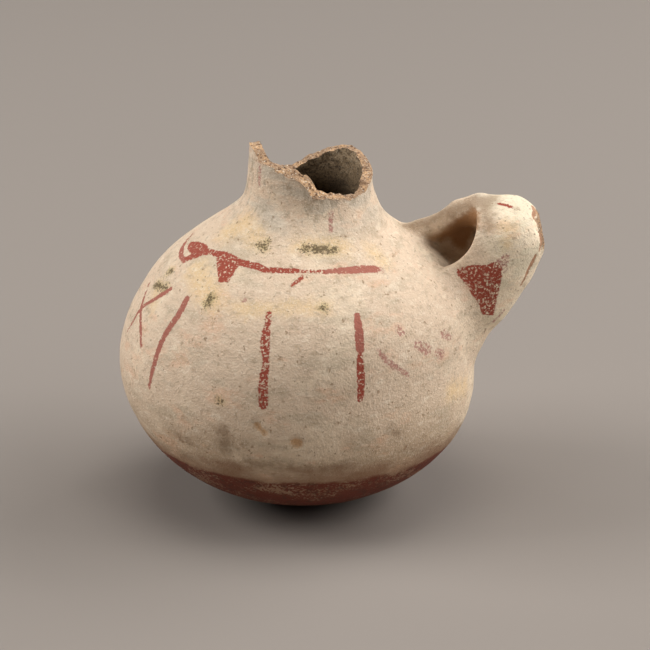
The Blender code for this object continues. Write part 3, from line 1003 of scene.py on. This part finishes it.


# %% [markdown]
# ## Slipped and painted earthenware
# Painted into the colour as well: shade in the hollows and in the lug's pocket, and a lug made paler
# where more light falls.
#
# Cream slip over a coarse brown body, fired in an open bonfire: it gives the eye a warm, chalky
# cream that is greyer low down, with peach clouds, buff patches and small brown specks, and it's
# quite matt. The red is a thin iron slip, matt too, worn to crumbs. The broken clay is pinkish
# brown with white grit. Inside it's bare, dark and sooty.
#
# The finish starts from nine noises, each with a real lump size. The finest are drawn about
# twice as coarse as real grit, so that they show in the render.

# %% Noises: size of their lumps in millimetres, stretch down Z, seed and detail
NOISES = {
    "clouds": (34, 1.0, 1, 3.0),
    "patches": (17, 2.4, 2, 3.0),
    "mottles": (6, 2.4, 3, 3.0),
    "streaks": (20, 2.4, 4, 5.0),
    "specks": (1.6, 1.0, 5, 1.0),
    "crumbs": (0.9, 1.0, 6, 4.0),
    "grains": (0.6, 1.0, 7, 2.0),
    "flecks": (2.4, 1.0, 8, 5.0),
    "drips": (3, 0.35, 9, 3.0),
}
SEED_STEP = 7.3
BASE_RED_HEIGHT = 28.7


def noises_of(tree, place):
    """Every noise of the table, between 0 and 1 and mostly near 0.5."""
    made = {}
    for name, (size, squeeze, seed, detail) in NOISES.items():
        where = add(tree, "VectorMath", [place, (1, 1, squeeze)], operation="MULTIPLY")
        inputs = {"Vector": where, "W": seed * SEED_STEP, "Scale": 1 / (size * MM)}
        inputs.update({"Detail": detail, "Roughness": 0.6})
        made[name] = add(tree, "TexNoise", inputs, "Fac", noise_dimensions="4D")
    return made


# %% The finish of the clay
def slip_and_paint(tree, at, noise, height, right):
    """The outside: slip, its clouds and stains, lichen, painted strokes, the red base, painted shade
    and light.
    """
    crumbs, flecks, streaks = noise["crumbs"], noise["flecks"], noise["streaks"]
    patches, mottles = noise["patches"], noise["mottles"]
    lost = add(tree, "Math", [at["paint_wear"], 0.10, crumbs], operation="MULTIPLY_ADD")
    whole = mask(tree, lost, 0.70, 0.58)
    painted = mask(tree, at["paint"], 0.3, -0.3, 1.0, crumbs, 1.8, whole)
    lost = add(tree, "Math", [at["faint_wear"], 0.12, crumbs], operation="MULTIPLY_ADD")
    faded = mask(tree, lost, 0.70, 0.52, 0.85)
    red_edge = add(tree, "Math", [height, BASE_RED_HEIGHT], operation="SUBTRACT")
    stain_edge = add(tree, "Math", [red_edge, 6.0], operation="SUBTRACT")
    worn = add(tree, "Math", [streaks, crumbs], operation="ADD")
    base_red = mask(tree, red_edge, 1.2, -1.2, 1.0, streaks, 8.0)
    low = add(tree, "Math", [noise["clouds"], 30.0, height], operation="MULTIPLY_ADD")
    on_neck = mask(tree, height, 114, 124)
    on_lug = mask(tree, right, 66, 80)
    hollow_shade = add(tree, "Math", [mottles, 0.3, at["sheltered"]], operation="MULTIPLY_ADD")
    return pile(tree, "#e0c6aa", [
        ("#b99f80", mask(tree, low, 82, 42, 0.85)),
        ("#edd6b8", mask(tree, noise["clouds"], 0.50, 0.62, 0.7)),
        ("#bdaa8f", mask(tree, patches, 0.48, 0.66, 0.55)),
        ("#e8b894", mask(tree, streaks, 0.54, 0.66, 0.45)),
        ("#cdbfab", mask(tree, patches, 0.40, 0.56, 0.7, within=on_neck)),
        ("#ac9a82", mask(tree, noise["drips"], 0.50, 0.64, 0.6, within=on_neck)),
        # Painted light: the lug, from 66 mm out, made paler as if lit more strongly
        ("#ffebcc", mask(tree, right, 66, 80, 0.85)),
        ("#dfd3b6", mask(tree, patches, 0.50, 0.58, 0.5, within=on_lug)),
        ("#f0c39a", mask(tree, streaks, 0.52, 0.62, 0.5, within=on_lug)),
        ("#e9c794", mask(tree, at["buff"], 4.5, -4.5, 0.7, flecks, 12.0)),
        ("#b39a7d", mask(tree, mottles, 0.53, 0.68, 0.38)),
        ("#f6e5cc", mask(tree, mottles, 0.46, 0.32, 0.4)),
        ("#a6896b", mask(tree, flecks, 0.54, 0.69, 0.5)),
        ("#f6e6d2", mask(tree, noise["grains"], 0.54, 0.66, 0.45)),
        ("#8c6a48", mask(tree, noise["specks"], 0.65, 0.75, 0.65)),
        ("#dfc28a", mask(tree, at["lichen"], 3.4, -3.4, 0.8, mottles, 9.0)),
        ("#a28f66", mask(tree, at["lichen"], 1.8, -1.8, 0.75, flecks, 9.0)),
        ("#5c4b31", mask(tree, at["lichen"], 0.9, -0.9, 0.85, crumbs, 15.0)),
        # Stains; the one along the ridge is partly painted shade
        ("#8a6d50", mask(tree, at["stain_and_shade"], 3.0, -3.0, 0.65, flecks, 12.0)),
        ("#b0766a", mask(tree, at["faint"], 0.6, -0.6, 1.0, crumbs, 2.6, faded)),
        ("#a04733", painted),
        ("#b27766", mask(tree, at["paint_wear"], 0.4, 0.2, 0.6, within=painted)),
        ("#8f6546", mask(tree, stain_edge, 6.0, -6.0, 0.75, streaks, 26.0)),
        ("#75341f", mask(tree, worn, 1.16, 0.98, within=base_red)),
        ("#5a3220", mask(tree, flecks, 0.50, 0.62, 0.7, within=base_red)),
        # Painted shade: darker where the clay lies in a hollow, broken up by mottles
        ("#8a6e50", mask(tree, hollow_shade, 0.45, 0.95, 0.3)),
        # Painted shade in the lug's pocket, under the ridge
        ("#a87d56", mask(tree, at["painted_shade"], 1.8, -1.8, 1.0, flecks, 4.0)),
        ("#d6a877", mask(tree, at["pit"], 0.8, -0.8, 0.8, crumbs, 3.0)),
    ])


def slipped_earthenware():
    """The whole finish: the outside, the bare inside, and the raw clay where it broke."""
    material, tree = blank("slipped earthenware, painted in red slip and fired low")
    place = add(tree, "TexCoord", out="Object")
    at = {name: add(tree, "Attribute", out="Fac", attribute_name=name) for name in measures}
    noise = noises_of(tree, place)
    crumbs, flecks, grains = noise["crumbs"], noise["flecks"], noise["grains"]
    in_mm = add(tree, "VectorMath", {0: place, "Scale": 1 / MM}, operation="SCALE")
    right, height = (add(tree, "SeparateXYZ", [in_mm], axis) for axis in "XZ")
    outside = slip_and_paint(tree, at, noise, height, right)
    broken = pile(tree, "#a58465", [
        ("#c79f76", mask(tree, noise["mottles"], 0.48, 0.60)),
        ("#654830", mask(tree, crumbs, 0.50, 0.60)),
        ("#e2d3bd", mask(tree, grains, 0.60, 0.68)),
        ("#bf9070", mask(tree, at["chip"], 0.8, -0.8, 1.0, crumbs, 3.0)),
    ])
    dusty = mask(tree, height, 122, 142, 0.75)
    bare = pile(tree, "#80694c", [
        ("#5c4831", mask(tree, noise["streaks"], 0.46, 0.60)),
        ("#c0a684", mask(tree, flecks, 0.42, 0.58, within=dusty)),
        ("#3f3020", mask(tree, crumbs, 0.50, 0.60, 0.7)),
        ("#d8c8ae", mask(tree, grains, 0.58, 0.66, 0.8, within=dusty)),
    ])
    opened = add(tree, "Math", [at["broken"], at["raw"]], operation="MINIMUM")
    colour = pile(tree, outside, [
        (bare, mask(tree, at["inward"], 0.5, 0.6)),
        (broken, mask(tree, opened, 0.2, -0.2, 1.0, crumbs, 2.2)),
    ])
    relief = 0.0
    for grain, share in ((flecks, 0.35), (crumbs, 0.4), (grains, 0.25)):
        relief = add(tree, "Math", [grain, share, relief], operation="MULTIPLY_ADD")
    bump = add(tree, "Bump", {"Height": relief, "Strength": 1.0, "Distance": 1.0 * MM})
    finish = {"Base Color": colour, "Roughness": 0.88, "Normal": bump}
    add(tree, "OutputMaterial", [add(tree, "BsdfPrincipled", finish)])
    return material


mesh.materials.append(slipped_earthenware())
print("finish nodes:", len(mesh.materials[0].node_tree.nodes))

# %% [markdown]
# ## Floor, light and camera
#
# A wide plain floor of warm grey paper runs out past the picture. The light is soft and comes
# about evenly from the left, the right and above, so that the shadows at the sides are faint
# and only the floor right under the belly is dark.

# %% A plain floor
FLOOR_HALF = 3.0


def paper():
    """Matt background paper: an even warm grey."""
    material, tree = blank("matt grey background paper")
    finish = {"Base Color": linear("#8b827a"), "Roughness": 0.95}
    add(tree, "OutputMaterial", [add(tree, "BsdfPrincipled", finish)])
    return material


floor_mesh = bpy.data.meshes.new("floor")
corners = ((-1, -1), (1, -1), (1, 1), (-1, 1))
floor_mesh.from_pydata([(x * FLOOR_HALF, y * FLOOR_HALF, 0.0) for x, y in corners], [], [(0, 1, 2, 3)])
floor_mesh.materials.append(paper())
floor = bpy.data.objects.new("floor", floor_mesh)
bpy.context.scene.collection.objects.link(floor)
print("floor, metres across:", 2 * FLOOR_HALF)

# %% Soft light from the right, the left and above
WORLD_STRENGTH = 0.05
LIGHTS = (
    ("right", (2.1, 0.0, 1.5), 1.4, 34.0),
    ("right, nearer the front", (1.8, -1.2, 1.5), 1.4, 15.0),
    ("left", (-2.1, 0.0, 1.4), 1.4, 46.0),
    ("above", (0.0, 0.0, 2.7), 1.8, 32.0),
    ("behind", (1.6, 1.2, 1.6), 1.4, 26.0),
)

world = bpy.data.worlds.new("room")
bpy.context.scene.world = world
world.use_nodes = True
world.node_tree.nodes["Background"].inputs[0].default_value = linear("#ffffff")
world.node_tree.nodes["Background"].inputs[1].default_value = WORLD_STRENGTH


def facing(place, target):
    """Turn that points an object's own -Z from its place at the target, with Z up."""
    return (target - place).to_track_quat("-Z", "Y").to_euler()


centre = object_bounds()[0].lerp(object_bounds()[1], 0.5)
for name, place, size, watts in LIGHTS:
    lamp = bpy.data.lights.new(name, "AREA")
    lamp.size, lamp.energy = size, watts
    holder = bpy.data.objects.new(name, lamp)
    holder.location = place
    holder.rotation_euler = facing(holder.location, centre)
    bpy.context.scene.collection.objects.link(holder)
print("lights:", [name for name, *_ in LIGHTS])

# %% The camera of the picture
SENSOR = 36.0
lens = bpy.data.cameras.new("camera")
lens.sensor_width = SENSOR
lens.lens = SENSOR * FOCAL_PIXELS / PICTURE
lens.shift_x = (PICTURE / 2 - AIM_SEEN_AT[0]) / PICTURE
lens.shift_y = (AIM_SEEN_AT[1] - PICTURE / 2) / PICTURE
camera = bpy.data.objects.new("camera", lens)
camera.location = (eye * MM).tolist()
camera.rotation_euler = (math.pi / 2 - ELEVATION, 0.0, 0.0)
bpy.context.scene.collection.objects.link(camera)
bpy.context.scene.camera = camera
bpy.context.scene.view_settings.view_transform = "Standard"
print("lens %.1f mm" % lens.lens)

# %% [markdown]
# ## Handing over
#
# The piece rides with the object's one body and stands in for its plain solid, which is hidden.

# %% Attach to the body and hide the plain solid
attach(bottle, "root")
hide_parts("bottle")
